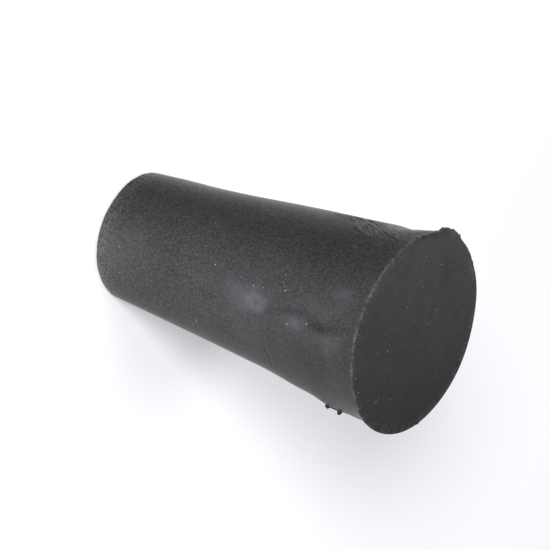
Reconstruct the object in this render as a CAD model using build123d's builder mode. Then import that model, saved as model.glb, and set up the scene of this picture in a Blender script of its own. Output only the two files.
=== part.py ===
from build123d import *
from math import atan, cos, radians, sin
import os

# Solid black rubber stopper for a narrow neck, moulded in one piece.
# It stands on its small end: the origin is the centre of that face, and +Z runs up the axis.

# Moulded body
length = 26.0  # small face to large face
small_end_dia = 9.8  # where the side would meet the small face in a sharp corner
rim_dia = 15.1  # where the lip would meet the large face in a sharp corner
side_hollow = 0.19  # how far the side bows in from a straight cone at its middle
lip_height = 1.36  # flared stretch just below the large face
lip_flare = 0.38  # how far that stretch stands out beyond the side
small_end_round = 0.5  # worn edge of the small face
rim_round = 0.1  # crisp edge of the large face

# Torn moulding flash left on one stretch of the rim
flash_reach = 0.2  # longest tooth beyond the rim
flash_thickness = 0.4  # down from the large face
flash_root = 0.8  # how far it runs into the body
flash_start_angle = 187.0
flash_end_angle = 165.0
flash_tooth_shares = (0.1, 0.95, 0.75, 1.0, 0.6, 0.8, 0.45, 0.6, 0.3, 0.4, 0.1)

# Shallow scuffed hollow across the side, below the torn flash
scuff_depth = 0.2
scuff_angle = 188.0
scuff_height_shares = (0.79, 0.86, 0.887, 0.97)  # of the length
scuff_depth_shares = (-0.1, 0.45, 1.0, -0.25)  # it runs out of the side at both ends

# Two blunt nubs of flash that cling to the opposite side
nub_reach = 0.42
nub_width = 0.46  # across the corners at its root
nub_corners = 6
nub_taper = 8.0  # degrees
nub_root = 0.4  # how far a nub runs into the body
nub_angle = -6.5
nub_height_shares = (0.829, 0.872)  # of the length

os.makedirs("parts", exist_ok=True)

small_end_r = small_end_dia / 2
rim_r = rim_dia / 2
lip_start_r = rim_r - lip_flare
lip_start_height = length - lip_height
lip_spread = lip_start_r - small_end_r


def side_radius(height):
    """Radius of the hollow side at a height."""
    along = height / lip_start_height
    return small_end_r + lip_spread * along - 4 * side_hollow * along * (1 - along)


def side_plane(angle, height):
    """Plane that lies on the hollow side at an angle and a height, facing straight out of it."""
    along = height / lip_start_height
    lean = atan((lip_spread - 4 * side_hollow * (1 - 2 * along)) / lip_start_height)
    turn = radians(angle)
    on_side = Vector(side_radius(height), 0, height).rotate(Axis.Z, angle)
    return Plane(origin=on_side, z_dir=(cos(turn) * cos(lean), sin(turn) * cos(lean), -sin(lean)))


with BuildPart() as stopper:
    # Turned form: hollow taper, flared lip, flat ends
    with BuildSketch(Plane.XZ) as profile:
        with BuildLine():
            small_face = Line((0, 0), (small_end_r, 0))
            side = SagittaArc(small_face @ 1, (lip_start_r, lip_start_height), side_hollow)
            lip = TangentArc(side @ 1, (rim_r, length), tangent=side % 1)
            large_face = Line(lip @ 1, (0, length))
            Line(large_face @ 1, small_face @ 0)
        make_face()
        fillet(profile.vertices().sort_by_distance(small_face @ 1)[0], small_end_round)
        fillet(profile.vertices().sort_by_distance(lip @ 1)[0], rim_round)
    revolve(axis=Axis.Z)

    # Scuffed hollow: a shallow notch that runs straight across the round side
    with BuildSketch(Plane.XZ.rotated((0, 0, scuff_angle))):
        with BuildLine():
            scuff_floor = Polyline(
                *[
                    (side_radius(length * height_share) - scuff_depth * depth_share, length * height_share)
                    for height_share, depth_share in zip(scuff_height_shares, scuff_depth_shares)
                ]
            )
            Polyline(
                scuff_floor @ 1,
                (rim_dia, (scuff_floor @ 1).Y),
                (rim_dia, (scuff_floor @ 0).Y),
                scuff_floor @ 0,
            )
        make_face()
    extrude(amount=rim_r, both=True, mode=Mode.SUBTRACT)

    # Torn flash: a toothed fin level with the large face
    flash_step = (flash_end_angle - flash_start_angle) / (len(flash_tooth_shares) - 1)
    with BuildSketch(Plane.XY.offset(length)):
        with BuildLine():
            teeth = Polyline(
                *[
                    Vector(rim_r + flash_reach * share, 0).rotate(
                        Axis.Z, flash_start_angle + flash_step * place
                    )
                    for place, share in enumerate(flash_tooth_shares)
                ]
            )
            flash_root_r = rim_r - flash_root
            root_end = Vector(flash_root_r, 0).rotate(Axis.Z, flash_end_angle)
            root_start = Vector(flash_root_r, 0).rotate(Axis.Z, flash_start_angle)
            Polyline(teeth @ 1, root_end, root_start, teeth @ 0)
        make_face()
    extrude(amount=-flash_thickness)

    # Nubs: blunt tapered teeth that stand square to the side
    for height_share in nub_height_shares:
        with BuildSketch(side_plane(nub_angle, length * height_share).offset(-nub_root)):
            RegularPolygon(nub_width / 2, nub_corners)
        extrude(amount=nub_root + nub_reach, taper=nub_taper)

stopper.part.label = "stopper"
export_step(stopper.part, "parts/stopper.step")
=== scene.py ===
from collections import namedtuple
from math import atan2, copysign, cos, degrees, exp, hypot, pi, radians, sin

import bmesh
import bpy
from bpy.props import FloatProperty, FloatVectorProperty, IntProperty, PointerProperty
from mathutils import Matrix, Vector, noise


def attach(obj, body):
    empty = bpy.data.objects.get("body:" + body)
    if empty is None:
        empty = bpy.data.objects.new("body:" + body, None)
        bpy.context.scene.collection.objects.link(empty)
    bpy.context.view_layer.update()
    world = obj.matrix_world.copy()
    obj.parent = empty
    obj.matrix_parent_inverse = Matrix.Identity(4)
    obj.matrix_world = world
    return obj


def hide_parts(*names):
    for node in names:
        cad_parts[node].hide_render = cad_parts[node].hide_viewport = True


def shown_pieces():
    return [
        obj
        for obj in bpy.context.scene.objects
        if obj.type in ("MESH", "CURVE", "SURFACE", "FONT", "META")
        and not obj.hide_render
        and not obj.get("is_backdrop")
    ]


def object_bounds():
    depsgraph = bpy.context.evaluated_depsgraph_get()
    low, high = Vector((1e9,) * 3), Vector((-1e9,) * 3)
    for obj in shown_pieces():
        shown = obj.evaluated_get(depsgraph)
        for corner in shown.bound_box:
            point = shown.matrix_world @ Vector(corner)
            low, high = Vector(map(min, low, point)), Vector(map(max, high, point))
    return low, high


bl_info = {
    "name": "Worn Rubber Stopper",
    "version": (1, 0, 0),
    "blender": (4, 5, 0),
    "location": "View3D > Sidebar > Stopper",
    "description": "Models a worn solid rubber stopper and the plain stage that it is shown on",
    "category": "Add Mesh",
}

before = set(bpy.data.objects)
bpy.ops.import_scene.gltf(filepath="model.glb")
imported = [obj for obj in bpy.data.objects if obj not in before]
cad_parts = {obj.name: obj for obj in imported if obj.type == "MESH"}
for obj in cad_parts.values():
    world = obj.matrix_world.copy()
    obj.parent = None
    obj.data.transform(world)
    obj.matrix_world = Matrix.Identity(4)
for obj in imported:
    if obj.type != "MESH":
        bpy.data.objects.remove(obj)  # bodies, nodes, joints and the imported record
CAD_LOW, CAD_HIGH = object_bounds()

MM = 0.001  # metres
LENGTH = CAD_HIGH.z - CAD_LOW.z
RIM_RADIUS = CAD_HIGH.y  # outermost, once the rim's edge is rounded
NODE = "stopper"
BODY = "root"
TOUCH = 0.0005 * MM  # vertices this close are one

# Marks are placed by angle round the axis, in degrees from +X, and height above the small face, in mm
Patch = namedtuple("Patch", "angle height spread_angle spread_height amount")
Stroke = namedtuple("Stroke", "rise width points")
Stretch = namedtuple("Stretch", "angle half_angle low high inner")  # inner is its smallest radius
Speck = namedtuple("Speck", "place size")

SWELLS = (  # amount is the rise in mm
    Patch(-6, 21.8, 13, 1.5, 0.21),  # under the nubs
    Patch(-6, 24.9, 13, 0.5, -0.07),
    Patch(-6, 18.6, 14, 1.4, 0.07),
    Patch(-6, 15.2, 16, 1.5, -0.03),
    Patch(-6, 5.0, 30, 6.0, 0.055),
    Patch(-174, 14.8, 26, 5.0, 0.12),
    Patch(-174, 3.0, 26, 2.0, 0.06),
    Patch(-150, 0.3, 25, 0.9, 0.10),
    Patch(-171, 23.2, 13, 0.72, -0.21),  # scuffed hollow below the torn flash
    Patch(-159, 25.2, 8, 0.5, 0.09),  # lip below the rolled edge
    Patch(-129.9, 22.95, 0.9, 0.1, 0.05),  # bead in the oval pit
)

SCAR_STRETCH = Stretch(-151.5, 29.0, 16.2, 25.0, 5.0)
SCAR_STROKES = (
    # Creases
    Stroke(-0.04, 0.08, ((-174.5, 16.8), (-174.0, 17.5), (-170.5, 18.3), (-170.0, 18.8), (-166.0, 19.5))),
    Stroke(-0.035, 0.08, ((-170.0, 16.2), (-166.5, 17.0), (-162.7, 17.5), (-159.4, 18.4), (-158.6, 18.8))),
    Stroke(-0.04, 0.11, ((-164.7, 18.9), (-163.9, 19.4), (-161.8, 19.9), (-156.0, 20.8), (-153.4, 21.5))),
    Stroke(
        -0.055,
        0.08,
        (
            (-167.2, 19.9), (-164.3, 20.4), (-161.6, 21.0), (-154.9, 22.05),
            (-148.7, 23.0), (-145.2, 23.8), (-141.5, 24.9),
        ),
    ),
    Stroke(-0.025, 0.07, ((-155.2, 23.3), (-151.0, 24.0), (-146.0, 24.6))),
    Stroke(-0.025, 0.06, ((-163.0, 20.9), (-158.5, 21.7), (-152.5, 22.75), (-149.0, 23.5), (-147.5, 24.2))),
    Stroke(-0.02, 0.06, ((-161.5, 19.3), (-157.5, 20.0), (-154.0, 20.6), (-150.5, 21.2))),
    Stroke(-0.02, 0.06, ((-159.5, 18.9), (-155.0, 19.7), (-151.5, 20.5), (-148.0, 21.5))),
    Stroke(-0.02, 0.06, ((-152.5, 21.2), (-148.0, 21.9), (-144.5, 22.6))),
    Stroke(-0.02, 0.06, ((-150.0, 22.0), (-146.0, 22.8), (-142.5, 23.7))),
    Stroke(-0.04, 0.10, ((-146.8, 20.5), (-145.1, 20.8), (-143.2, 21.3))),
    Stroke(-0.035, 0.09, ((-140.1, 22.2), (-138.6, 22.8))),
    Stroke(-0.03, 0.10, ((-131.6, 22.4), (-132.2, 22.8), (-131.4, 23.3))),
    Stroke(-0.025, 0.10, ((-128.2, 22.6), (-128.6, 23.1), (-129.5, 23.4))),
    # Ridges between them
    Stroke(0.035, 0.10, ((-164.5, 19.7), (-159.7, 20.5), (-156.0, 21.2), (-152.7, 21.9), (-149.2, 22.6))),
    Stroke(0.035, 0.09, ((-165.3, 20.5), (-161.3, 21.2), (-153.3, 22.4), (-150.0, 23.1), (-146.9, 23.9))),
    Stroke(0.06, 0.09, ((-148.6, 20.5), (-147.4, 20.8), (-145.7, 21.1))),
    Stroke(0.04, 0.10, ((-145.7, 21.1), (-142.9, 21.7), (-140.9, 22.5))),
    Stroke(0.045, 0.11, ((-129.2, 21.9), (-127.5, 22.8), (-126.9, 23.3), (-126.2, 23.9))),
    Stroke(0.06, 0.09, ((-134.2, 23.5), (-136.0, 23.7), (-136.8, 23.9))),
    Stroke(0.03, 0.08, ((-158.0, 22.4), (-153.0, 23.2), (-149.5, 24.0))),
    Stroke(0.03, 0.07, ((-158.6, 22.9), (-159.8, 23.4), (-159.9, 24.1))),
)
SCAR_PATCHES = (
    Stroke(1.0, 0.6, ((-163, 18.7), (-158, 19.9), (-150.5, 21.4), (-147.6, 22.2))),
    Stroke(0.9, 0.75, ((-160, 21.6), (-156, 22.8), (-151.5, 24.1), (-149, 24.9))),
)
SCAR_SWAY = 0.12  # how far the strokes stray, in mm
SCAR_SWAY_PITCH = 1.3  # for each mm, as other pitches where nothing else is said
SCAR_SWAY_SHIFT = Vector((31.4, 17.9, 5.3))  # sets the noise of the sway along the axis apart
SCAR_DEPTH = 0.85  # share of the strokes' rise that is kept on the whole
SCAR_DEPTH_CHANGE = 0.9  # how much that share comes and goes along them
SCAR_DEPTH_PITCH = 1.1
GRAIN_ALONG = Vector((0.5, 0.86))  # run of the torn patch's fine ridges, round and up
GRAIN_PITCH_ACROSS = 5.5
GRAIN_PITCH_ALONG = 0.8
FOLD_STRETCH = Stretch(-44.0, 26.0, 16.0, 18.2, 5.0)
FOLD_STROKES = (
    Stroke(
        -0.03,
        0.09,
        ((-58.0, 17.0), (-55.2, 17.13), (-48.5, 17.17), (-41.7, 17.3), (-34.1, 17.45), (-27.0, 17.4)),
    ),
    Stroke(0.02, 0.12, ((-54.0, 17.4), (-48.5, 17.42), (-41.7, 17.55), (-34.1, 17.7))),
)
PAINTED_STROKE_SHADING = 6.5  # painted shade in a crease and painted light on a ridge, for each mm of rise
TORN_PAINTED_SHADING = 0.6  # the same painted shade and light for the torn patch's fine ridges, as a share
FINE_NOISE = (0.6, 2.0, 3)  # falloff, step and count of the octaves
COARSE_NOISE = (0.7, 2.0, 3)

# Where wear lies, in mm; a pair of numbers is where it begins to show and where it shows in full
SIDE_RADIUS = 4.0  # the side lies outside this
SIDE_HEIGHT = 25.9  # and below this
FACE_HEIGHT = 25.95  # the large face lies above this
FLAT_HEIGHT = 1.0  # below this no swell moves anything up or down, so that the resting face stays flat
SWELL_END_HEIGHTS = (25.9, 25.3)
SMALL_EDGE_HEIGHTS = (1.2, 0.4)
SMALL_EDGE_RADII = (4.2, 4.6)
SMALL_EDGE_PITCH = 0.6
RIM_HEIGHTS = (24.9, 25.85)
RIM_RADII = (6.9, 7.35)
FLASH_HEIGHTS = (25.45, 25.8)
FLASH_RADII = (7.1, 7.35)

TORN_RIM = Stretch(168.0, 42.0, 25.0, 26.1, 6.7)
FLASH_EDGE = (  # angle, share of the longest tooth
    (188.9, 0.0), (187.9, 0.78), (186.2, 0.62), (184.9, 0.81), (181.7, 0.87), (179.4, 0.62), (178.0, 1.0),
    (175.7, 0.90), (172.7, 0.72), (171.4, 0.53), (170.8, 0.87), (169.7, 0.78), (168.0, 0.30), (160.0, 0.26),
    (150.0, 0.22), (144.0, 0.0),
)
RIM_SWELLS = (  # amount is the rise in mm
    Patch(-79, 26.0, 8, 1.0, 0.10),
    Patch(-39, 26.0, 7, 1.0, -0.10),
    Patch(40, 26.0, 34, 1.0, 0.10),
    Patch(80, 26.0, 20, 1.0, 0.11),
    Patch(36, 26.0, 0.9, 1.0, 0.09),
    Patch(128, 26.0, 16, 1.0, 0.07),
)
RIM_STEP_ANGLE = -68.5  # where the first of these ends in a small step
RIM_STEP_REACH = 20.0  # degrees past the step that the swell would have gone on for
ROLLED_EDGE = Patch(-157, 26.0, 8, 1.0, 0.13)  # beside the flash; amount is how far it draws in, in mm
ROLL_HEIGHTS = (25.4, 25.9)
CRUMBLE_TURNS = (42.0, 26.0)  # degrees from the middle of the torn rim
CRUMBLE_PITCH = 2.4
CRUMBLE_DROP_SHARE = 0.6  # how far it goes down, as a share of how far it goes in and out
CRUMBLE_DROP_SHIFT = Vector((9.0, 4.0, 2.0))  # sets the noise of the drop apart
EDGE_HIGHLIGHT_HEIGHT = 25.92  # middle of the painted highlight along the rim's edge
EDGE_HIGHLIGHT_WIDTH = 0.08
EDGE_HIGHLIGHT_RADII = (7.18, 7.36)
EDGE_HIGHLIGHT_TURNS = (38.0, 50.0)  # degrees from the middle of the torn rim
BEAD_LEVEL = 0.55  # strength of that line on the whole
BEADS = (  # how it comes and goes: strength, pitch for each degree, shift of the noise
    (0.5, 0.15, (0.0, 0.0)),
    (1.1, 0.42, (7.3, 0.5)),
)
CRUMB_FLASH_SHARE = 0.4  # the torn rim is crumbly where the flash reaches this far
CRUMB_RADII = (7.15, 7.35)
CRUMB_PITCH = 3.2
CRUMB_SHADE = 0.5

BLOOM_PATCHES = (
    Patch(-82, 13.0, 24, 14.0, 0.08),
    Patch(-75.0, 15.5, 10, 1.8, 0.55),
    Patch(-79.0, 14.2, 4, 1.0, 0.3),
    Patch(-74.4, 15.9, 5, 1.0, 0.40),
    Patch(-72.0, 16.5, 4, 0.7, 0.45),
    Patch(-77.4, 17.0, 2.5, 0.6, 0.5),
    Patch(-70.5, 20.0, 6, 1.0, 0.35),
    Patch(-72.6, 20.4, 3.5, 0.8, 0.30),
    Patch(-85.0, 22.0, 4, 1.0, 0.25),
    Patch(-96.7, 23.6, 4, 0.9, 0.4),
    Patch(-65.1, 23.5, 6, 0.9, 0.3),
)
TONE_AND_PAINTED_SHADING_PATCHES = (  # tone, stains, painted shade and painted light; amount is the share added to the plain shade
    Patch(-72, 2.5, 26, 2.4, 0.38),
    Patch(-55, 8.0, 25, 2.5, -0.07),
    Patch(-88, 7.5, 22, 2.2, -0.12),
    Patch(-82, 12.5, 16, 2.2, 0.10),
    Patch(-53, 4.5, 12, 1.6, -0.12),
    Patch(-90, 4.2, 12, 1.6, 0.08),
    Patch(-52, 14.8, 14, 1.8, 0.06),
    Patch(-45, 22.6, 34, 3.2, -0.10),
    Patch(-30, 20.5, 18, 3.0, 0.10),
    Patch(-50, 16.0, 18, 2.5, 0.09),
    # painted shade: the dark band along the side
    Patch(-125, 21.0, 20, 4.0, -0.14),
    Patch(-18, 23.4, 12, 1.5, 0.22),
    Patch(-36, 24.2, 12, 1.1, 0.16),
    Patch(-62, 25.2, 16, 0.7, -0.18),
    Patch(-73.5, 22.4, 3.0, 1.0, -0.55),  # stains
    Patch(-76.7, 24.0, 2.4, 0.7, -0.25),
    Patch(-169.0, 18.8, 9.0, 1.8, -0.45),
    Patch(-156.0, 19.2, 9.0, 1.6, -0.25),
    Patch(-164.0, 21.2, 7.0, 1.3, -0.25),
    Patch(-160.0, 25.95, 14.0, 0.12, -0.4),  # painted shade along the torn rim's edge
    Patch(-168.0, 25.95, 8.0, 0.12, -0.25),
    # painted light on the lip below the torn rim
    Patch(-172.0, 25.0, 11.0, 0.8, 1.0),
    # painted shade on the rim's edge
    Patch(-174.0, 25.95, 2.5, 0.2, -0.15),
    # painted shade in three small pits by the rim
    Patch(-140.7, 25.4, 1.2, 0.15, -0.4),
    Patch(-147.0, 25.95, 2.0, 0.15, -0.4),
    Patch(-153.0, 25.95, 2.0, 0.15, -0.4),
)
TONE_STROKES = (  # faint streaks; rise is the share added to the plain shade
    Stroke(0.16, 0.28, ((-84.0, 19.6), (-88.5, 21.2), (-94.4, 22.3), (-101.6, 24.3))),
    Stroke(0.18, 0.25, ((-83.1, 22.6), (-86.7, 23.6), (-93.7, 24.7))),
    Stroke(0.16, 0.30, ((-65.6, 21.4), (-69.4, 23.3), (-73.4, 24.6))),
    Stroke(-0.15, 0.30, ((-108.0, 18.4), (-110.5, 19.3), (-114.0, 20.5))),
    Stroke(-0.36, 0.22, ((-69.1, 17.0), (-74.8, 18.0), (-76.3, 19.25), (-78.5, 20.6))),
)
STREAK_STRETCH = Stretch(-90.0, 40.0, 15.0, 26.0, 0.0)
RIM_TONE_RADIUS = 7.2  # past this the large face takes the rim's shade
TAN_PATCHES = (
    Patch(175, 26.0, 8, 0.7, 0.3),
    Patch(142, 26.0, 7, 0.6, 0.7),
)
RIM_TAN_RADII = (6.6, 7.2)
SMALL_TAN_HEIGHTS = (2.1, 0.4)  # brownish wear round the small end, lighter at its round edge as a painted highlight
SMALL_TAN_RADII = (3.9, 4.5)
SMALL_TAN_ANGLE = -60.0  # where it is strongest
SMALL_TAN_LEVEL = 0.65
SMALL_TAN_CHANGE = 0.35
SMALL_END_HIGHLIGHT_SHARE = 0.35  # share of it that goes into the painted edge highlight
PAINTED_SIDE_LIGHT = Patch(-180, 13.0, 27, 40.0, 1.45)  # painted light along one side; amount is the share it adds
PAINTED_FACE_LIGHT_ANGLE = -160.0
PAINTED_FACE_LIGHT = 0.32  # painted light: share by which the large face is lighter there, and painted shade, darker opposite
FACE_GRIT = 0.3  # strength of the fine specks on that face
GRIT_HEIGHTS = (4.0, 22.0)  # the side has fewer of them towards the rim
GRIT_LOSS = 0.25
SMOOTH_TURNS = (-100.0, -50.0)  # and fewer again on its smoother quarter
SMOOTH_HEIGHTS = (8.0, 20.0)
SMOOTH_LOSS = 0.55

DUST_ON_SIDE = (  # angle and height
    Speck((-88.2, 18.64), 0.10), Speck((-90.4, 18.43), 0.06), Speck((-84.2, 15.71), 0.09),
    Speck((-85.0, 16.60), 0.07), Speck((-68.7, 19.45), 0.09), Speck((-73.6, 21.22), 0.09),
    Speck((-92.5, 18.23), 0.06), Speck((-97.6, 18.15), 0.08), Speck((-88.6, 11.76), 0.09),
    Speck((-91.1, 9.79), 0.06), Speck((-86.5, 14.44), 0.06), Speck((-38.6, 10.25), 0.09),
    Speck((-40.9, 10.31), 0.06), Speck((-31.4, 9.69), 0.07), Speck((-76.1, 2.49), 0.07),
    Speck((-53.3, 2.65), 0.07), Speck((-119.3, 4.55), 0.06), Speck((-99.5, 10.25), 0.06),
    Speck((-119.2, 9.95), 0.06), Speck((-93.3, 5.07), 0.05), Speck((-100.6, 6.72), 0.05),
)
DUST_ON_FACE = (  # x and y
    Speck((1.87, -2.84), 0.09), Speck((5.03, -0.29), 0.06), Speck((5.53, -2.10), 0.06),
    Speck((5.40, -1.97), 0.06), Speck((5.27, -1.84), 0.05), Speck((-1.50, -2.25), 0.07),
    Speck((0.79, -3.85), 0.06), Speck((2.22, -4.02), 0.05), Speck((-5.18, 0.20), 0.08),
    Speck((-5.31, -2.10), 0.07), Speck((-2.06, 1.62), 0.06), Speck((-0.93, 1.21), 0.06),
    Speck((-0.73, -0.72), 0.05), Speck((-3.20, -1.09), 0.06), Speck((4.33, -5.69), 0.07),
    Speck((5.20, -4.70), 0.07),
)
DUST_CORE_SHARE = 0.2  # a speck is solid up to this share of its size
DUST_REACH_SHARE = 0.75  # and gone past this one

NUB_ANGLE = -6.5
NUB_HEIGHT_SHARES = (0.829, 0.872)  # of the length
NUB_BLUNT = 0.75  # below 1 squares the nub's tip
NUB_UNEVEN_SHARE = 0.2
NUB_UNEVEN_PITCH = 1.6  # for each half width

# Kept in the body's mesh for its finish
MARKS = ("bloom", "scar", "painted_edge_highlight", "tan", "grit", "tone_and_painted_shading", "painted_side_light", "matt")

# Noise in the finishes: scale for each mm, detail, roughness
CLOUD = (0.22, 4.0, 0.55)
MOTTLE = (1.1, 5.0, 0.6)
GRAIN = (5.5, 2.0, 0.6)
FINE_GRAIN = (9.0, 2.0, 0.55)
TORN_GRAIN = (7.0, 3.0, 0.6)
FLOOR_CLOUD = (0.02, 2.0, 0.5)
DUST_CELLS = 1.4  # for each mm

# Ramps in the finishes: low and high of what comes in, and what these become
CLOUD_RAMP = (0.35, 0.65, 0.93, 1.07)
MOTTLE_RAMP = (0.3, 0.7, 0.9, 1.1)
GRAIN_RAMP = (0.3, 0.7, 0.88, 1.12)
FINE_SPECK_RAMP = (0.5, 0.75, 0.0, 0.68)
SPECK_RAMP = (0.44, 0.76, 0.0, 0.42)
BLOOM_RAMP = (0.36, 0.6, 0.55, 1.0)
SCAR_RAMP = (0.3, 0.6, 0.5, 1.0)
EDGE_HIGHLIGHT_RAMP = (0.38, 0.62, 0.1, 1.0)
TAN_RAMP = (0.38, 0.62, 0.0, 1.1)
DUST_SIZE_RAMP = (0.03, 0.06, 1.0, 0.0)
DUST_CHANCE_RAMP = (0.4, 1.0, 0.0, 0.35)
STAIN_DULL_RAMP = (0.4, 0.9, 0.3, 0.0)
TORN_RAMP = (0.3, 0.7, 0.6, 1.5)
FLOOR_RAMP = (0.3, 0.7, 0.98, 1.0)
GRAIN_DULL_SPAN = (0.25, 0.75)
GRAIN_DULL_LESS = 0.05  # what the grain takes from the roughness, and what it adds
GRAIN_DULL_MORE = 0.08
SCAR_DULL = 0.15
MOTTLE_RELIEF = 0.6  # its height beside the grain's

DARK_TOWARD = (-0.766, -0.634, 0.103)  # where the world is dark
DARK_SPAN = (-0.1, 0.7)  # bright below the first, as the cosine of the angle to it, and dark past the second
SENSOR_WIDTH = 36.0  # mm
CLIP_SHARE = 0.05  # of the view distance


def size(name, description, millimetres):
    """A length that a user may change."""
    return FloatProperty(
        name=name, description=description, default=millimetres * MM, unit="LENGTH", precision=5
    )


def angle(name, description, turn):
    """An angle that a user may change, given in degrees."""
    return FloatProperty(name=name, description=description, default=radians(turn), subtype="ANGLE")


def colour(name, description, value):
    """A colour that a user may change, as linear red, green and blue."""
    return FloatVectorProperty(
        name=name, description=description, default=value, size=3, subtype="COLOR", min=0.0, max=1.0
    )


def power(name, description, watts):
    """A lamp's power that a user may change."""
    return FloatProperty(name=name, description=description, default=watts, min=0.0, unit="POWER")


def share(name, description, value):
    """A share or strength that a user may change."""
    return FloatProperty(name=name, description=description, default=value, min=0.0, subtype="FACTOR")


def steps(name, description, count):
    """A count of steps that a user may change."""
    return IntProperty(name=name, description=description, default=count, min=1)


class StopperForm(bpy.types.PropertyGroup):
    """Moulded form, beside the length and the rim, which the frame gives."""

    small_end_radius: size("Small End Radius", "Axis to the corner where side and small face would meet", 4.9)
    small_end_round: size("Small End Round", "Setback of the worn edge of the small face", 0.48)
    rim_round: size("Rim Round", "Setback of the crisp edge of the large face", 0.15)
    rim_corner: size("Rim Corner", "How far the rim's sharp corner stands out past its round", 0.053)
    side_hollow: size("Side Hollow", "How far the side bows in from a straight cone", 0.19)
    lip_height: size("Lip Height", "Flared stretch just below the large face", 1.36)
    lip_flare: size("Lip Flare", "How far that stretch stands out beyond the side", 0.38)
    facets: steps("Facets", "Steps of the spin round the axis", 288)
    small_end_steps: steps("Small End Steps", "Steps of the small end's round", 6)
    rim_steps: steps("Rim Steps", "Steps of the rim's round", 4)
    fine_cuts: steps("Fine Cuts", "Cuts of each edge on the scar, the fold and the torn rim", 3)
    fine_from: size("Fine From", "Height above which the side has closer rings", 12.0)
    coarse_rings: size("Coarse Rings", "Ring spacing on the plain part of the side", 0.6)
    fine_rings: size("Fine Rings", "Ring spacing on the marked part of the side", 0.2)
    face_rings: size("Face Rings", "Ring spacing on the large face", 0.6)


class StopperWear(bpy.types.PropertyGroup):
    """Tears, scars and flash."""

    flash_reach: size("Flash Reach", "Longest tooth of torn flash beyond the rim", 0.34)
    scar_grain: size("Scar Grain", "Height of the torn patch's fine ridges", 0.02)
    crumble: size("Crumble", "Unevenness of the torn rim", 0.05)
    small_end_wear: size("Small End Wear", "Unevenness of the small end's edge", 0.045)
    nub_reach: size("Nub Reach", "How far a nub of flash stands out from the side", 0.42)
    nub_width: size("Nub Width", "A nub's width at its root", 0.40)
    nub_steps: steps("Nub Steps", "Times that a nub's faces are divided", 3)
    strand_reach: size("Strand Reach", "Side to the middle of the strand between the nubs", 0.15)
    strand_width: size("Strand Width", "Width of that strand", 0.24)


class StopperFinish(bpy.types.PropertyGroup):
    """Colours of the aged rubber."""

    rubber: colour("Rubber", "Aged surface of the rubber", (0.040, 0.040, 0.042))
    speck: colour("Specks", "Fine light specks in the surface", (0.105, 0.105, 0.108))
    # painted shade: the nubs are near-black as if in shade
    nub_painted_shade: colour("Fresh Rubber", "Freshly torn rubber", (0.010, 0.007, 0.010))
    bloom: colour("Bloom", "Pale bloom rubbed over the side", (0.104, 0.106, 0.122))
    scar: colour("Scar", "Roughened torn patch", (0.068, 0.060, 0.059))
    # painted highlight along the rim's edge and round the small end
    edge: colour("Worn Edge", "Rubbed edges", (0.150, 0.149, 0.147))
    # brownish wear; round the small end also a painted highlight
    tan: colour("Tan", "Brownish wear", (0.104, 0.088, 0.073))
    dust: colour("Dust", "Specks of dust", (0.36, 0.36, 0.37))
    roughness: share("Roughness", "Roughness of the aged side", 0.3)
    face_roughness: share("Face Roughness", "Roughness of the large face", 0.66)
    gloss: share("Gloss", "Specular level of the aged surface", 0.016)
    gloss_tint: colour("Gloss Tint", "Colour of its gloss", (1.0, 0.95, 0.88))
    relief: share("Relief", "Strength of its fine relief", 0.35)
    relief_depth: size("Relief Depth", "Depth of that relief", 0.02)
    fresh_roughness: share("Fresh Roughness", "Roughness of freshly torn rubber", 0.6)
    fresh_gloss: share("Fresh Gloss", "Specular level of freshly torn rubber", 0.15)
    fresh_relief: share("Fresh Relief", "Strength of its fine relief", 0.5)
    fresh_relief_depth: size("Fresh Relief Depth", "Depth of that relief", 0.03)


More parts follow.
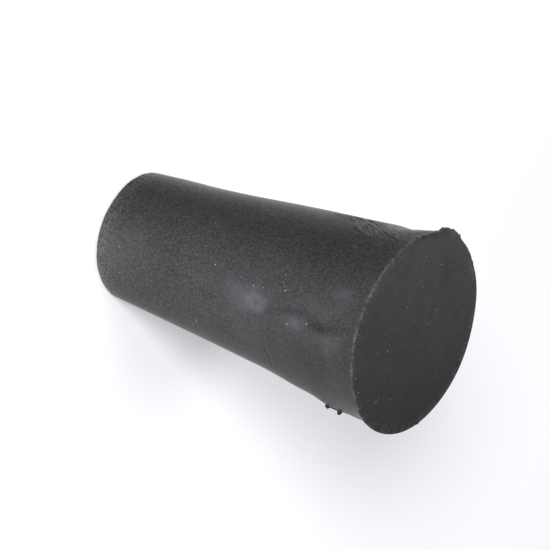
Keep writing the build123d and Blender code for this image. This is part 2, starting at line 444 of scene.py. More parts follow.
class StopperStage(bpy.types.PropertyGroup):
    """Floor, light and camera."""

    floor: colour("Floor", "Pale floor", (0.86, 0.87, 0.90))
    floor_white: colour("Floor White", "What the floor shows beside its own colour", (0.96, 0.975, 1.0))
    floor_reach: size("Floor Reach", "Middle of the floor to its edges", 2000.0)
    floor_lamp_distance: size("Floor Lamp Distance", "Middle of the object to the lamps on the floor", 800.0)
    lamp_distance: size("Lamp Distance", "Middle of the object to the lamps on it", 400.0)
    lamp_spread: share("Lamp Spread", "Width of the lamps on the object, as a share of their distance", 0.35)
    floor_lamp_spread: share("Floor Lamp Spread", "The same for the lamps on the floor", 0.25)
    warm: colour("Warm Light", "Colour of the fill and the back lamp", (1.0, 0.97, 0.93))
    key_power: power("Key Power", "Soft lamp on the object", 1.95)
    key_turn: angle("Key Turn", "Its turn round the axis", -72.0)
    key_rise: angle("Key Rise", "Its height above the horizon", 8.0)
    fill_power: power("Fill Power", "Soft lamp beside the key", 0.72)
    fill_turn: angle("Fill Turn", "Its turn round the axis", -32.0)
    fill_rise: angle("Fill Rise", "Its height above the horizon", 8.0)
    crown_power: power("Crown Power", "Soft lamp above the large face", 1.22)
    crown_turn: angle("Crown Turn", "Its turn round the axis", 160.0)
    crown_rise: angle("Crown Rise", "Its height above the horizon", 55.0)
    back_power: power("Back Power", "Lamp that grazes the side from behind", 3.4)
    back_turn: angle("Back Turn", "Its turn round the axis", 136.0)
    back_rise: angle("Back Rise", "Its height above the horizon", 3.0)
    floor_power: power("Floor Power", "Low lamp on the floor", 10.8)
    floor_turn: angle("Floor Turn", "Its turn round the axis", -99.5)
    floor_rise: angle("Floor Rise", "Its height above the horizon", 29.5)
    sky_power: power("Sky Power", "High lamp on the floor", 2.8)
    sky_turn: angle("Sky Turn", "Its turn round the axis", -118.0)
    sky_rise: angle("Sky Rise", "Its height above the horizon", 70.0)
    bounce: share("Bounce", "Share of the floor's light that it throws back at the object", 0.11)
    shine: share("Shine", "Share of the floor that shows white by itself", 0.46)
    world_bright: share("Bright Side", "Strength of the world's bright side", 0.15)
    world_dark: share("Dark Side", "Strength of the world's dark side", 0.008)
    view_distance: size("View Distance", "Camera to the point it looks at", 214.29)
    view_elevation: angle("View Elevation", "Camera's height above the horizon", 33.70)
    view_roll: angle("View Roll", "Turn of the camera about its own axis", 109.276)
    target_side: size("Target Side", "Looked-at point along X", -0.582)
    target_height: size("Target Height", "Looked-at point above the floor", 13.057)
    lens: FloatProperty(name="Lens", description="Focal length", default=191.7, unit="CAMERA")


# Small helpers for marks on the side


def smooth_step(low, high, value):
    """0 below low, 1 above high and an even ramp between."""
    t = min(1.0, max(0.0, (value - low) / (high - low)))
    return t * t * (3.0 - 2.0 * t)


def turn_between(a, b):
    """Signed turn from b to a, in degrees, from -180 to 180."""
    return (a - b + 180.0) % 360.0 - 180.0


def bell(mark, turn, height):
    """Height of a round-topped mark at a place on the side, 1 at its middle."""
    across = turn_between(turn, mark.angle) / mark.spread_angle
    along = (height - mark.height) / mark.spread_height
    return exp(-across * across - along * along)


def distance_to_stroke(stroke, turn, height, girth):
    """Distance in mm on the unrolled side from a place to a stroke; girth is mm for each degree of turn."""
    best = 1e9
    places = [(turn_between(a, turn) * girth, h - height) for a, h in stroke.points]
    for (x0, y0), (x1, y1) in zip(places, places[1:]):
        dx, dy = x1 - x0, y1 - y0
        t = min(1.0, max(0.0, -(x0 * dx + y0 * dy) / (dx * dx + dy * dy)))
        best = min(best, hypot(x0 + t * dx, y0 + t * dy))
    return best


def stroke_rise(stroke, turn, height, girth):
    """A stroke's rise at a place on the side, full along its middle."""
    across = distance_to_stroke(stroke, turn, height, girth) / stroke.width
    return stroke.rise * exp(-across * across)


def strokes_at(strokes, turn, height, girth):
    """What a set of strokes adds up to at a place."""
    return sum(stroke_rise(stroke, turn, height, girth) for stroke in strokes)


def patches_at(patches, turn, height):
    """What a set of round-topped patches adds up to at a place."""
    return sum(patch.amount * bell(patch, turn, height) for patch in patches)


# Modelling the body


def side_radius(form, height):
    """Radius of the unworn side at a height."""
    lip_start = LENGTH - form.lip_height
    spread = RIM_RADIUS + form.rim_corner - form.lip_flare - form.small_end_radius
    along = height / lip_start
    return form.small_end_radius + spread * along - 4.0 * form.side_hollow * along * (1.0 - along)


def half_profile(form):
    """Bmesh with the half outline as a wire, from the axis at the small face to the axis at the large one."""
    lip_start = LENGTH - form.lip_height
    rim_corner = RIM_RADIUS + form.rim_corner
    lip_start_radius = rim_corner - form.lip_flare
    middle_share = form.fine_from / lip_start
    middle_radius = form.small_end_radius + (lip_start_radius - form.small_end_radius) * middle_share
    bm = bmesh.new()
    corners = [
        bm.verts.new((radius, 0.0, height))
        for radius, height in (
            (0.0, 0.0),
            (form.small_end_radius, 0.0),
            (middle_radius, form.fine_from),
            (lip_start_radius, lip_start),
            (rim_corner, LENGTH),
            (0.0, LENGTH),
        )
    ]
    for pair in zip(corners, corners[1:]):
        bm.edges.new(pair)
    rounds = (
        (corners[1], form.small_end_round, form.small_end_steps),
        (corners[4], form.rim_round, form.rim_steps),
    )
    for corner, setback, segments in rounds:
        bmesh.ops.bevel(
            bm,
            geom=[corner],
            offset=setback,
            offset_type="OFFSET",
            affect="VERTICES",
            segments=segments,
            profile=0.5,
            material=-1,
        )
    for edge in list(bm.edges):
        low, high = sorted(vert.co.z for vert in edge.verts)
        if high - low < TOUCH:
            spacing = form.face_rings
        elif high < form.fine_from + TOUCH:
            spacing = form.coarse_rings
        else:
            spacing = form.fine_rings
        cuts = round(edge.calc_length() / spacing) - 1
        if cuts > 0:
            bmesh.ops.subdivide_edges(bm, edges=[edge], cuts=cuts)
    bow_side(bm, form, lip_start, lip_start_radius)
    return bm


def bow_side(bm, form, lip_start, lip_start_radius):
    """Bow the straight cone and its lip inwards, so that one runs into the other."""
    side_slope = (lip_start_radius - form.small_end_radius + 4.0 * form.side_hollow) / lip_start
    lip_hollow = (form.lip_flare - side_slope * form.lip_height) / 4.0
    for vert in bm.verts:
        if vert.co.z < lip_start:
            along = vert.co.z / lip_start
            vert.co.x -= 4.0 * form.side_hollow * along * (1.0 - along)
        else:
            along = (vert.co.z - lip_start) / form.lip_height
            vert.co.x -= 4.0 * lip_hollow * along * (1.0 - along)


def spin_profile(bm, form):
    """Spin the half outline into a closed body."""
    bmesh.ops.spin(
        bm,
        geom=bm.verts[:] + bm.edges[:],
        cent=(0.0, 0.0, 0.0),
        axis=(0.0, 0.0, 1.0),
        angle=2.0 * pi,
        steps=form.facets,
        use_merge=True,
    )
    bmesh.ops.remove_doubles(bm, verts=bm.verts, dist=TOUCH)
    bmesh.ops.recalc_face_normals(bm, faces=bm.faces)


def place_of(vert):
    """A vertex's turn in degrees, height in mm and radius in mm."""
    return degrees(atan2(vert.co.y, vert.co.x)), vert.co.z / MM, hypot(vert.co.x, vert.co.y) / MM


def within(stretch, vert):
    """Whether a vertex lies on a stretch."""
    turn, height, radius = place_of(vert)
    return (
        abs(turn_between(turn, stretch.angle)) < stretch.half_angle
        and stretch.low < height < stretch.high
        and radius > stretch.inner
    )


def refine(bm, stretch, cuts):
    """Divide the faces of a stretch finely, and split the many-sided faces round it."""
    edges = [edge for edge in bm.edges if all(within(stretch, vert) for vert in edge.verts)]
    bmesh.ops.subdivide_edges(bm, edges=edges, cuts=cuts, use_grid_fill=True)
    border = [face for face in bm.faces if len(face.verts) > 4]
    bmesh.ops.triangulate(bm, faces=border, quad_method="BEAUTY", ngon_method="BEAUTY")


def torn_grain(turn, height, girth):
    """Fine ridges that run along the torn patch, about -1 to 1."""
    along = turn * girth * GRAIN_ALONG.x + height * GRAIN_ALONG.y
    across = turn * girth * GRAIN_ALONG.y - height * GRAIN_ALONG.x
    place = Vector((across * GRAIN_PITCH_ACROSS, along * GRAIN_PITCH_ALONG, 0.0))
    return noise.fractal(place, *FINE_NOISE)


def wear_side(bm, wear):
    """Press the swells, creases, ridges and the torn patch into the side, and paint shade into the creases
    and light onto the ridges.
    """
    tone_and_painted_shading = bm.verts.layers.float["tone_and_painted_shading"]
    scar = bm.verts.layers.float["scar"]
    bm.normal_update()
    for vert in bm.verts:
        turn, height, radius = place_of(vert)
        vert[tone_and_painted_shading] = 1.0
        if radius < SIDE_RADIUS or height > SIDE_HEIGHT:
            continue
        girth = radians(radius)
        lines = 0.0
        grain = 0.0
        if within(SCAR_STRETCH, vert):
            place = vert.co * (SCAR_SWAY_PITCH / MM)
            sway_round = SCAR_SWAY * noise.noise(place)
            sway_up = SCAR_SWAY * noise.noise(place + SCAR_SWAY_SHIFT)
            depth = SCAR_DEPTH + SCAR_DEPTH_CHANGE * noise.noise(vert.co * (SCAR_DEPTH_PITCH / MM))
            lines += depth * strokes_at(SCAR_STROKES, turn + sway_round / girth, height + sway_up, girth)
            vert[scar] = max(stroke_rise(patch, turn, height, girth) for patch in SCAR_PATCHES)
            grain = vert[scar] * torn_grain(turn, height, girth)
        if within(FOLD_STRETCH, vert):
            lines += strokes_at(FOLD_STROKES, turn, height, girth)
        # painted shade in the creases and painted light on the ridges, the torn patch's fine ridges too
        vert[tone_and_painted_shading] += PAINTED_STROKE_SHADING * lines + TORN_PAINTED_SHADING * grain
        rise = patches_at(SWELLS, turn, height) + lines + wear.scar_grain / MM * grain
        move = vert.normal * (rise * smooth_step(*SWELL_END_HEIGHTS, height) * MM)
        if height < FLAT_HEIGHT:
            move.z = 0.0
        vert.co += move


def outwards(vert):
    """Direction from the axis to a vertex."""
    return Vector((vert.co.x, vert.co.y, 0.0)).normalized()


def wear_small_end(bm, wear):
    """Make the edge of the small end uneven, and keep the face that it rests on flat."""
    for vert in bm.verts:
        turn, height, radius = place_of(vert)
        near = smooth_step(*SMALL_EDGE_HEIGHTS, height) * smooth_step(*SMALL_EDGE_RADII, radius)
        if near > 0.0:
            uneven = noise.fractal(vert.co * (SMALL_EDGE_PITCH / MM), *COARSE_NOISE)
            vert.co += outwards(vert) * (wear.small_end_wear * near * uneven)


def flash_share(turn):
    """Reach of the torn flash at an angle, as a share of its longest tooth."""
    for (start, first), (end, second) in zip(FLASH_EDGE, FLASH_EDGE[1:]):
        part = turn_between(start, turn) / (start - end)
        if 0.0 <= part <= 1.0:
            return first + (second - first) * part
    return 0.0


def tear_rim(bm, wear):
    """Pull the torn flash out of the rim, crumble the edge beside it and rub the rest uneven."""
    for vert in bm.verts:
        turn, height, radius = place_of(vert)
        near = smooth_step(*RIM_HEIGHTS, height) * smooth_step(*RIM_RADII, radius)
        if near <= 0.0:
            continue
        reach = patches_at(RIM_SWELLS, turn, height)
        if RIM_STEP_ANGLE < turn < RIM_STEP_ANGLE + RIM_STEP_REACH:
            reach -= patches_at(RIM_SWELLS[:1], turn, height)
        edge = smooth_step(*FLASH_HEIGHTS, height) * smooth_step(*FLASH_RADII, radius)
        reach += flash_share(turn) * wear.flash_reach / MM * edge
        from_middle = abs(turn_between(turn, TORN_RIM.angle))
        crumble = smooth_step(*CRUMBLE_TURNS, from_middle) * edge * wear.crumble / MM
        place = vert.co * (CRUMBLE_PITCH / MM)
        reach += crumble * noise.fractal(place, *FINE_NOISE)
        sunk = max(0.0, noise.fractal(place + CRUMBLE_DROP_SHIFT, *FINE_NOISE))
        drop = CRUMBLE_DROP_SHARE * crumble * sunk
        reach -= patches_at([ROLLED_EDGE], turn, height) * smooth_step(*ROLL_HEIGHTS, height)
        vert.co += outwards(vert) * (reach * near * MM) - Vector((0.0, 0.0, drop * MM))


def rim_line(turn, height, radius):
    """Strength of the broken painted highlight along the rim's edge."""
    beads = BEAD_LEVEL
    for strength, pitch, shift in BEADS:
        beads += strength * noise.noise(Vector((turn * pitch, *shift)))
    clear_of_tear = smooth_step(*EDGE_HIGHLIGHT_TURNS, abs(turn_between(turn, TORN_RIM.angle)))
    across = (height - EDGE_HIGHLIGHT_HEIGHT) / EDGE_HIGHLIGHT_WIDTH
    line = exp(-across * across) * smooth_step(*EDGE_HIGHLIGHT_RADII, radius)
    return max(0.0, beads) * clear_of_tear * line


def paint_marks(bm):
    """Keep where tone, stains, painted shade and light, bloom, brownish wear, painted edge highlights and
    fine specks lie, for the finish.
    """
    layers = bm.verts.layers.float
    names = ("bloom", "painted_edge_highlight", "tan", "grit", "tone_and_painted_shading", "painted_side_light", "matt")
    bloom, painted_edge_highlight, tan, grit, tone_and_painted_shading, painted_side_light, matt = (layers[name] for name in names)
    for vert in bm.verts:
        turn, height, radius = place_of(vert)
        small_tan = smooth_step(*SMALL_TAN_HEIGHTS, height) * smooth_step(*SMALL_TAN_RADII, radius)
        small_tan *= SMALL_TAN_LEVEL + SMALL_TAN_CHANGE * cos(radians(turn - SMALL_TAN_ANGLE))
        rim_tan = patches_at(TAN_PATCHES, turn, height) * smooth_step(*RIM_TAN_RADII, radius)
        vert[tan] = small_tan + rim_tan
        # painted highlight along the rim's edge and the small end's edge
        vert[painted_edge_highlight] = max(rim_line(turn, height, radius), SMALL_END_HIGHLIGHT_SHARE * small_tan)
        vert[painted_side_light] = 1.0
        # painted light along one side
        if height < FACE_HEIGHT:
            vert[painted_side_light] += PAINTED_SIDE_LIGHT.amount * bell(PAINTED_SIDE_LIGHT, turn, height)
        if 0.0 < height < FACE_HEIGHT or radius > RIM_TONE_RADIUS:
            vert[tone_and_painted_shading] += patches_at(TONE_AND_PAINTED_SHADING_PATCHES, turn, height)
        if within(TORN_RIM, vert) and flash_share(turn) > CRUMB_FLASH_SHARE:
            crumbs = noise.fractal(vert.co * (CRUMB_PITCH / MM), *COARSE_NOISE)
            vert[tone_and_painted_shading] += CRUMB_SHADE * crumbs * smooth_step(*CRUMB_RADII, radius)
        if height > FACE_HEIGHT:
            vert[grit] = FACE_GRIT
            vert[matt] = 1.0
            # painted light and shade across the large face
            toward_painted_light = cos(radians(turn - PAINTED_FACE_LIGHT_ANGLE)) * radius * MM / RIM_RADIUS
            vert[tone_and_painted_shading] += PAINTED_FACE_LIGHT * toward_painted_light
        elif height > 0.0:
            vert[bloom] = min(1.0, patches_at(BLOOM_PATCHES, turn, height))
            if within(STREAK_STRETCH, vert):
                vert[tone_and_painted_shading] += strokes_at(TONE_STROKES, turn, height, radians(radius))
            smoother = smooth_step(*SMOOTH_TURNS, turn) * smooth_step(*SMOOTH_HEIGHTS, height)
            fewer = GRIT_LOSS * smooth_step(*GRIT_HEIGHTS, height)
            vert[grit] = (1.0 - fewer) * (1.0 - SMOOTH_LOSS * smoother)


def finished_piece(bm, name, material):
    """Turn a finished bmesh into a smooth piece that rides with the body."""
    mesh = bpy.data.meshes.new(name)
    bm.to_mesh(mesh)
    bm.free()
    mesh.shade_smooth()
    mesh.materials.append(material)
    piece = bpy.data.objects.new(name, mesh)
    bpy.context.scene.collection.objects.link(piece)
    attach(piece, BODY)
    return piece


# Finishes


def put(tree, kind, inputs=None, **settings):
    """Add a shader node with its settings, and fill its inputs, by name or number, with values or links."""
    made = tree.nodes.new(kind)
    for name, value in settings.items():
        setattr(made, name, value)
    for name, value in (inputs or {}).items():
        if isinstance(value, bpy.types.NodeSocket):
            tree.links.new(value, made.inputs[name])
        else:
            made.inputs[name].default_value = value
    return made


def new_material(name):
    """Empty material, its tree and its output."""
    material = bpy.data.materials.new(name)
    material.use_nodes = True
    tree = material.node_tree
    tree.nodes.clear()
    return material, tree, put(tree, "ShaderNodeOutputMaterial")


def ramp(tree, value, low, high, to_low, to_high):
    """Value carried from one span to another, held at its ends."""
    return put(
        tree,
        "ShaderNodeMapRange",
        {"Value": value, "From Min": low, "From Max": high, "To Min": to_low, "To Max": to_high},
    ).outputs["Result"]


def arithmetic(tree, operation, a, b):
    """Result of one operation on two values."""
    return put(tree, "ShaderNodeMath", {0: a, 1: b}, operation=operation).outputs[0]


def times(tree, a, b):
    """Product of two values."""
    return arithmetic(tree, "MULTIPLY", a, b)


def plus(tree, a, b):
    """Sum of two values."""
    return arithmetic(tree, "ADD", a, b)


def larger(tree, a, b):
    """The larger of two values."""
    return arithmetic(tree, "MAXIMUM", a, b)


def shaded(tree, shade, amount):
    """A colour made lighter or darker by an amount."""
    return put(tree, "ShaderNodeVectorMath", {0: shade, "Scale": amount}, operation="SCALE").outputs["Vector"]


def blend_colours(tree, amount, first, second):
    """First colour, giving way to the second by an amount."""
    return put(tree, "ShaderNodeMix", {0: amount, 6: first, 7: second}, data_type="RGBA").outputs[2]


def opaque(value):
    """A colour property as the four numbers that a socket takes."""
    return (*value, 1.0)


def millimetre_place(tree):
    """Place on the piece in millimetres."""
    place = put(tree, "ShaderNodeTexCoord").outputs["Object"]
    scale = (1.0 / MM, 1.0 / MM, 1.0 / MM)
    return put(tree, "ShaderNodeMapping", {"Vector": place, "Scale": scale}).outputs["Vector"]


def speckle(tree, place, scale, detail, roughness):
    """Noise in the material, at a scale for each millimetre."""
    return put(
        tree,
        "ShaderNodeTexNoise",
        {"Vector": place, "Scale": scale, "Detail": detail, "Roughness": roughness},
    ).outputs["Fac"]


def mark(tree, name):
    """A mark kept in the mesh, as a value."""
    return put(tree, "ShaderNodeAttribute", attribute_name=name).outputs["Fac"]


def dust_specks(tree, place, form):
    """Specks of dust at their places on the side and the large face."""
    spots = []
    for speck in DUST_ON_SIDE:
        turn, height = radians(speck.place[0]), speck.place[1]
        radius = side_radius(form, height * MM) / MM
        spots.append(((radius * cos(turn), radius * sin(turn), height), speck.size))
    for speck in DUST_ON_FACE:
        spots.append(((*speck.place, LENGTH / MM), speck.size))
    dust = 0.0
    for spot, reach in spots:
        away = put(tree, "ShaderNodeVectorMath", {0: place, 1: spot}, operation="DISTANCE").outputs["Value"]
        here = ramp(tree, away, DUST_CORE_SHARE * reach, DUST_REACH_SHARE * reach, 1.0, 0.0)
        dust = larger(tree, dust, here)
    return dust


def scattered_dust(tree, place):
    """Finer dust, scattered all over."""
    cells = put(tree, "ShaderNodeTexVoronoi", {"Vector": place, "Scale": DUST_CELLS, "Randomness": 1.0})
    chance = put(tree, "ShaderNodeSeparateColor", {0: cells.outputs["Color"]}).outputs[0]
    grown = ramp(tree, cells.outputs["Distance"], *DUST_SIZE_RAMP)
    return times(tree, grown, ramp(tree, chance, *DUST_CHANCE_RAMP))


def add_surface(tree, output, inputs, relief, strength, depth):
    """Give a material its surface, with a fine relief of its own."""
    bump = put(tree, "ShaderNodeBump", {"Strength": strength, "Distance": depth, "Height": relief})
    surface = put(tree, "ShaderNodeBsdfPrincipled", {**inputs, "Normal": bump.outputs["Normal"]})
    tree.links.new(surface.outputs["BSDF"], output.inputs["Surface"])


def aged_rubber(finish, form):
    """Dull black rubber with fine specks, bloom, torn patches and dust, and painted shade, painted edge
    highlights and painted side light.
    """
    material, tree, output = new_material("aged_rubber")
    place = millimetre_place(tree)
    cloud = speckle(tree, place, *CLOUD)
    mottle = speckle(tree, place, *MOTTLE)
    grain = speckle(tree, place, *GRAIN)
    fine = speckle(tree, place, *FINE_GRAIN)
    tone_and_painted_shading = times(tree, ramp(tree, cloud, *CLOUD_RAMP), ramp(tree, mottle, *MOTTLE_RAMP))
    tone_and_painted_shading = times(tree, tone_and_painted_shading, ramp(tree, grain, *GRAIN_RAMP))
    tone_and_painted_shading = times(tree, tone_and_painted_shading, mark(tree, "tone_and_painted_shading"))
    bloom = times(tree, mark(tree, "bloom"), ramp(tree, mottle, *BLOOM_RAMP))
    scar = times(tree, mark(tree, "scar"), ramp(tree, mottle, *SCAR_RAMP))
    tan = times(tree, mark(tree, "tan"), ramp(tree, grain, *TAN_RAMP))
    specks = plus(tree, ramp(tree, fine, *FINE_SPECK_RAMP), ramp(tree, grain, *SPECK_RAMP))
    specks = times(tree, specks, mark(tree, "grit"))
    painted_edge_highlight = times(tree, mark(tree, "painted_edge_highlight"), ramp(tree, grain, *EDGE_HIGHLIGHT_RAMP))
    dust = larger(tree, scattered_dust(tree, place), dust_specks(tree, place, form))
    shade = shaded(tree, tuple(finish.rubber), tone_and_painted_shading)
    for amount, layer in (
        (bloom, opaque(finish.bloom)),
        (scar, shaded(tree, tuple(finish.scar), tone_and_painted_shading)),
        (tan, opaque(finish.tan)),
        (specks, opaque(finish.speck)),
        # painted edge highlight
        (painted_edge_highlight, opaque(finish.edge)),
        (dust, opaque(finish.dust)),
    ):
        shade = blend_colours(tree, amount, shade, layer)
    # painted light along one side
    shade = shaded(tree, shade, mark(tree, "painted_side_light"))
    least, most = finish.roughness - GRAIN_DULL_LESS, finish.roughness + GRAIN_DULL_MORE
    dull = ramp(tree, grain, *GRAIN_DULL_SPAN, least, most)
    dull = plus(tree, dull, times(tree, scar, SCAR_DULL))
    dull = plus(tree, dull, times(tree, mark(tree, "matt"), finish.face_roughness - finish.roughness))
    dull = plus(tree, dull, ramp(tree, mark(tree, "tone_and_painted_shading"), *STAIN_DULL_RAMP))
    inputs = {
        "Base Color": shade,
        "Roughness": dull,
        "Specular IOR Level": finish.gloss,
        "Specular Tint": opaque(finish.gloss_tint),
    }
    relief = plus(tree, grain, times(tree, mottle, MOTTLE_RELIEF))
    add_surface(tree, output, inputs, relief, finish.relief, finish.relief_depth)
    return material


def painted_shade_nub_rubber(finish):
    """Rubber of the nubs, painted near-black as shade."""
    material, tree, output = new_material("painted_shade_nub_rubber")
    grain = speckle(tree, millimetre_place(tree), *TORN_GRAIN)
    inputs = {
        "Base Color": shaded(tree, tuple(finish.nub_painted_shade), ramp(tree, grain, *TORN_RAMP)),
        "Roughness": finish.fresh_roughness,
        "Specular IOR Level": finish.fresh_gloss,
    }
    add_surface(tree, output, inputs, grain, finish.fresh_relief, finish.fresh_relief_depth)
    return material


def seen_rays(tree):
    """1 for rays from the camera, in a reflection or through glass, and 0 for those that light things."""
    path = put(tree, "ShaderNodeLightPath")
    seen = plus(tree, path.outputs["Is Camera Ray"], path.outputs["Is Glossy Ray"])
    through = path.outputs["Is Transmission Ray"]
    return put(tree, "ShaderNodeMath", {0: seen, 1: through}, operation="ADD", use_clamp=True).outputs[0]


def pale_floor(stage):
    """Pale floor that shows white to the camera and still takes the object's shadow."""
    material, tree, output = new_material("pale_floor")
    faint = ramp(tree, speckle(tree, millimetre_place(tree), *FLOOR_CLOUD), *FLOOR_RAMP)
    base = shaded(tree, tuple(stage.floor), faint)
    lights_others = put(tree, "ShaderNodeLightPath").outputs["Is Diffuse Ray"]
    base = shaded(tree, base, ramp(tree, lights_others, 0.0, 1.0, 1.0, stage.bounce))
    lit = put(tree, "ShaderNodeBsdfDiffuse", {"Color": base}).outputs["BSDF"]
    white = put(tree, "ShaderNodeEmission", {"Color": opaque(stage.floor_white), "Strength": 1.0})
    amount = times(tree, seen_rays(tree), stage.shine)
    mixed = put(tree, "ShaderNodeMixShader", {0: amount, 1: lit, 2: white.outputs["Emission"]})
    tree.links.new(mixed.outputs["Shader"], output.inputs["Surface"])
    return material


# Operators


class STOPPER_OT_body(bpy.types.Operator):
    """Model the moulded body with its scars and torn rim"""

    bl_idname = "stopper.body"
    bl_label = "Model Body"
    bl_options = {"REGISTER", "UNDO"}

    def execute(self, context):
        scene = context.scene
        form, wear = scene.stopper_form, scene.stopper_wear
        bm = half_profile(form)
        spin_profile(bm, form)
        for stretch in (SCAR_STRETCH, FOLD_STRETCH, TORN_RIM):
            refine(bm, stretch, form.fine_cuts)
        for name in MARKS:
            bm.verts.layers.float.new(name)
        wear_side(bm, wear)
        wear_small_end(bm, wear)
        paint_marks(bm)
        tear_rim(bm, wear)
        body = finished_piece(bm, "stopper_body", aged_rubber(scene.stopper_finish, form))
        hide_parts(NODE)
        return {"FINISHED"}


def add_lump(bm, place, half_sizes, divisions, seed):
    """Add a blunt, uneven crumb of rubber."""
    made = bmesh.ops.create_icosphere(bm, subdivisions=divisions, radius=1.0)
    for vert in made["verts"]:
        uneven = noise.noise(vert.co * NUB_UNEVEN_PITCH + Vector((seed / MM, 0.0, 0.0)))
        vert.co.z = copysign(abs(vert.co.z) ** NUB_BLUNT, vert.co.z)
        vert.co *= 1.0 + NUB_UNEVEN_SHARE * uneven
    bmesh.ops.transform(bm, matrix=place @ Matrix.Diagonal((*half_sizes, 1.0)), verts=made["verts"])


class STOPPER_OT_nubs(bpy.types.Operator):
    """Model the blunt nubs of flash that cling to the side"""

    bl_idname = "stopper.nubs"
    bl_label = "Model Flash Nubs"
    bl_options = {"REGISTER", "UNDO"}

    def execute(self, context):
        scene = context.scene
        form, wear = scene.stopper_form, scene.stopper_wear
        bm = bmesh.new()
        turn = radians(NUB_ANGLE)
        out = Vector((cos(turn), sin(turn), 0.0))
        facing = out.to_track_quat("Z", "Y").to_matrix().to_4x4()
        heights = [part * LENGTH for part in NUB_HEIGHT_SHARES]
        nub_sizes = (wear.nub_width / 2.0, wear.nub_width / 2.0, wear.nub_reach)
        for height in heights:
            root = out * side_radius(form, height) + Vector((0.0, 0.0, height))
            add_lump(bm, Matrix.Translation(root) @ facing, nub_sizes, wear.nub_steps, height)
        middle = sum(heights) / 2.0
        root = out * (side_radius(form, middle) + wear.strand_reach) + Vector((0.0, 0.0, middle))
        strand_sizes = (wear.strand_width / 2.0, wear.strand_width / 2.0, (heights[1] - heights[0]) / 2.0)
        add_lump(bm, Matrix.Translation(root), strand_sizes, wear.nub_steps, middle)
        bmesh.ops.recalc_face_normals(bm, faces=bm.faces)
        finished_piece(bm, "flash_nubs", painted_shade_nub_rubber(scene.stopper_finish))
        return {"FINISHED"}


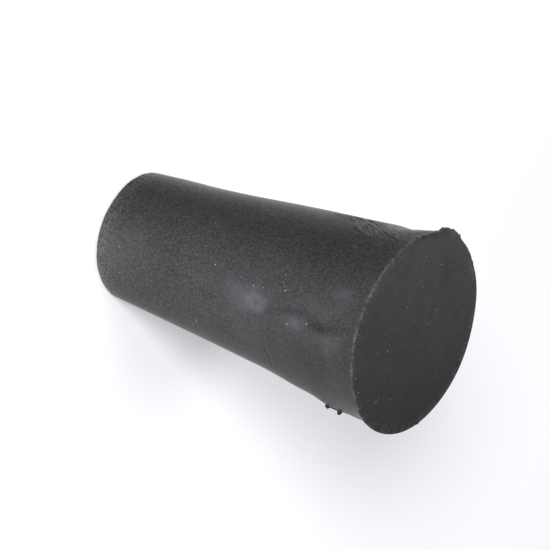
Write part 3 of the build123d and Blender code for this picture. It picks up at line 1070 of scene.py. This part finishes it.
class STOPPER_OT_stage(bpy.types.Operator):
    """Lay the pale floor and set the soft light and the camera"""

    bl_idname = "stopper.stage"
    bl_label = "Set Stage"
    bl_options = {"REGISTER", "UNDO"}

    def execute(self, context):
        scene = context.scene
        stage = scene.stopper_stage
        floor = self.lay_floor(scene, stage)
        self.light_world(scene, stage)
        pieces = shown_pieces()
        plain = (1.0, 1.0, 1.0)
        for name, watts, tint, turn, rise, lit in (
            ("key", stage.key_power, plain, stage.key_turn, stage.key_rise, pieces),
            ("fill", stage.fill_power, stage.warm, stage.fill_turn, stage.fill_rise, pieces),
            ("crown", stage.crown_power, plain, stage.crown_turn, stage.crown_rise, pieces),
            ("back", stage.back_power, stage.warm, stage.back_turn, stage.back_rise, pieces),
            ("floor_lamp", stage.floor_power, plain, stage.floor_turn, stage.floor_rise, [floor]),
            ("sky_lamp", stage.sky_power, plain, stage.sky_turn, stage.sky_rise, [floor]),
        ):
            toward = Vector((cos(turn) * cos(rise), sin(turn) * cos(rise), sin(rise)))
            distance, spread = stage.lamp_distance, stage.lamp_spread
            if lit is not pieces:
                distance, spread = stage.floor_lamp_distance, stage.floor_lamp_spread
            self.hang_lamp(name, watts, tint, toward * distance, spread * distance, lit)
        self.set_camera(scene, stage)
        scene.view_settings.view_transform = "Standard"
        return {"FINISHED"}

    def lay_floor(self, scene, stage):
        """Lay the floor under the resting face."""
        bm = bmesh.new()
        bmesh.ops.create_grid(bm, x_segments=1, y_segments=1, size=stage.floor_reach)
        mesh = bpy.data.meshes.new("floor")
        bm.to_mesh(mesh)
        bm.free()
        mesh.materials.append(pale_floor(stage))
        floor = bpy.data.objects.new("floor", mesh)
        scene.collection.objects.link(floor)
        floor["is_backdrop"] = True
        return floor

    def light_world(self, scene, stage):
        """Surround the object with faint light from one side, and show white."""
        world = bpy.data.worlds.new("studio")
        world.use_nodes = True
        tree = world.node_tree
        tree.nodes.clear()
        toward = put(tree, "ShaderNodeTexCoord").outputs["Generated"]
        near_dark = put(
            tree, "ShaderNodeVectorMath", {0: toward, 1: DARK_TOWARD}, operation="DOT_PRODUCT"
        ).outputs["Value"]
        strength = ramp(tree, near_dark, *DARK_SPAN, stage.world_bright, stage.world_dark)
        white = (1.0, 1.0, 1.0, 1.0)
        lit = put(tree, "ShaderNodeBackground", {"Color": white, "Strength": strength})
        shown = put(tree, "ShaderNodeBackground", {"Color": white, "Strength": 1.0})
        mixed = put(
            tree,
            "ShaderNodeMixShader",
            {0: seen_rays(tree), 1: lit.outputs["Background"], 2: shown.outputs["Background"]},
        )
        output = put(tree, "ShaderNodeOutputWorld", {"Surface": mixed.outputs["Shader"]})
        output.is_active_output = True
        scene.world = world

    def hang_lamp(self, name, watts, tint, away, width, lit):
        """Hang a round lamp that faces the object and lights only what is given."""
        lamp = bpy.data.lights.new(name, "AREA")
        lamp.shape = "DISK"
        lamp.size = width
        lamp.energy = watts
        lamp.color = tint
        hung = bpy.data.objects.new(name, lamp)
        hung.location = Vector((0.0, 0.0, LENGTH / 2.0)) + away
        hung.rotation_euler = away.to_track_quat("Z", "Y").to_euler()
        hung.visible_camera = False
        bpy.context.scene.collection.objects.link(hung)
        receivers = bpy.data.collections.new(f"{name}_receivers")
        for piece in lit:
            receivers.objects.link(piece)
        hung.light_linking.receiver_collection = receivers

    def set_camera(self, scene, stage):
        """Set the camera where the photograph was taken from, rolled because the object stands here."""
        camera_data = bpy.data.cameras.new("camera")
        camera_data.lens = stage.lens
        camera_data.sensor_width = SENSOR_WIDTH
        camera_data.clip_start = stage.view_distance * CLIP_SHARE
        camera = bpy.data.objects.new("camera", camera_data)
        back = Vector((0.0, -cos(stage.view_elevation), sin(stage.view_elevation)))
        target = Vector((stage.target_side, 0.0, stage.target_height))
        facing = Matrix.Rotation(pi / 2.0 - stage.view_elevation, 4, "X")
        roll = Matrix.Rotation(stage.view_roll, 4, "Z")
        camera.matrix_world = Matrix.Translation(target + back * stage.view_distance) @ facing @ roll
        scene.collection.objects.link(camera)
        scene.camera = camera


class STOPPER_PT_sidebar(bpy.types.Panel):
    """Sizes, colours and steps of the stopper"""

    bl_idname = "STOPPER_PT_sidebar"
    bl_label = "Rubber Stopper"
    bl_space_type = "VIEW_3D"
    bl_region_type = "UI"
    bl_category = "Stopper"

    def draw(self, context):
        scene = context.scene
        for group in (scene.stopper_form, scene.stopper_wear, scene.stopper_finish, scene.stopper_stage):
            column = self.layout.column(align=True)
            for name in group.__annotations__:
                column.prop(group, name)
        for operator in OPERATORS:
            self.layout.operator(operator.bl_idname)


GROUPS = {
    "stopper_form": StopperForm,
    "stopper_wear": StopperWear,
    "stopper_finish": StopperFinish,
    "stopper_stage": StopperStage,
}
OPERATORS = (STOPPER_OT_body, STOPPER_OT_nubs, STOPPER_OT_stage)


def register():
    for name, group in GROUPS.items():
        bpy.utils.register_class(group)
        setattr(bpy.types.Scene, name, PointerProperty(type=group))
    for operator in OPERATORS:
        bpy.utils.register_class(operator)
    bpy.utils.register_class(STOPPER_PT_sidebar)


def unregister():
    bpy.utils.unregister_class(STOPPER_PT_sidebar)
    for operator in reversed(OPERATORS):
        bpy.utils.unregister_class(operator)
    for name, group in reversed(GROUPS.items()):
        delattr(bpy.types.Scene, name)
        bpy.utils.unregister_class(group)


def main():
    register()
    bpy.ops.stopper.body()
    bpy.ops.stopper.nubs()
    bpy.ops.stopper.stage()


if __name__ == "__main__":
    main()
